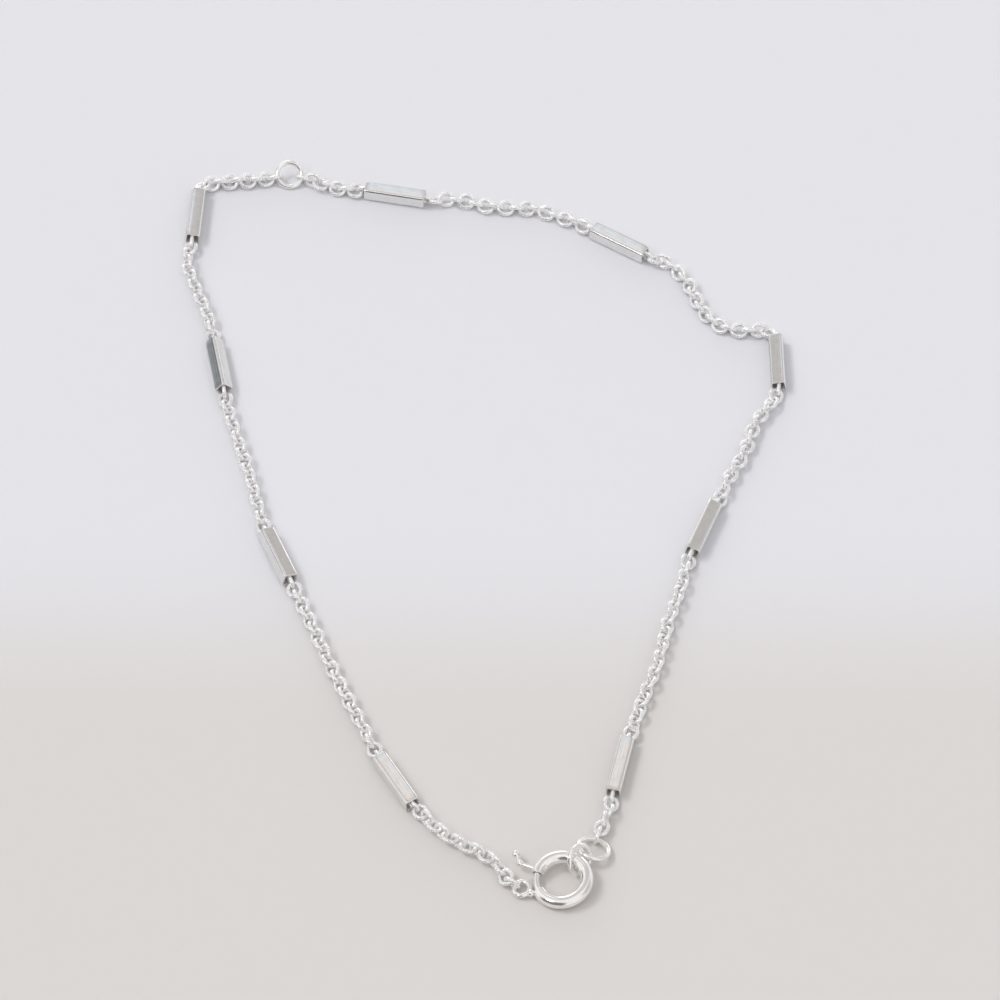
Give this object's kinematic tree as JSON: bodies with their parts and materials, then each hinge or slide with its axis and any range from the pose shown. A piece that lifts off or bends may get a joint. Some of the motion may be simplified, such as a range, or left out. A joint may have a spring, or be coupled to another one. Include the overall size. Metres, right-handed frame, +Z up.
{
  "type": "chain bracelet",
  "caption": "Chain bracelet: small square-tube bars joined by fine cable chain, with a wire ring in the middle and a spring-ring clasp fastened to an end ring.",
  "frame": {"origin": "on the surface that the bracelet lies on, under the middle of the loop", "axes": "+Z up from the surface, +Y away from the clasp towards the middle ring's side, +X to the right seen from the clasp's side"},
  "size_m": [0.0488, 0.0724, 0.0022],
  "materials": {
    "bar_silver": "satin silver, lightly tumbled",
    "chain_silver": "polished silver",
    "ring_silver": "polished silver",
    "clasp_silver": "bright polished silver"
  },
  "bodies": {
    "bracelet": {"bar_1": "bar_silver", "bar_2": "bar_silver", "bar_3": "bar_silver", "bar_4": "bar_silver", "bar_5": "bar_silver", "bar_6": "bar_silver", "bar_7": "bar_silver", "bar_8": "bar_silver", "bar_9": "bar_silver", "chain_1": "chain_silver", "chain_2": "chain_silver", "chain_3": "chain_silver", "chain_4": "chain_silver", "chain_5a": "chain_silver", "chain_5b": "chain_silver", "chain_6": "chain_silver", "chain_7": "chain_silver", "chain_8": "chain_silver", "chain_9": "chain_silver", "chain_10": "chain_silver", "mid_ring": "ring_silver", "jump_ring": "ring_silver", "end_ring": "ring_silver", "clasp_ring": "clasp_silver"},
    "clasp_bolt": {"clasp_bolt": "clasp_silver"}
  },
  "joints": [
    {"name": "trigger_slide", "type": "hinge", "parent": "bracelet", "child": "clasp_bolt", "pos_m": [0.0061, -0.0338, 0.0008], "axis": [0.1028, 0.1225, -0.9871], "range_deg": [0, 44], "stiffness_Nm_per_rad": 0.002, "springref_deg": -20.05}
  ]
}
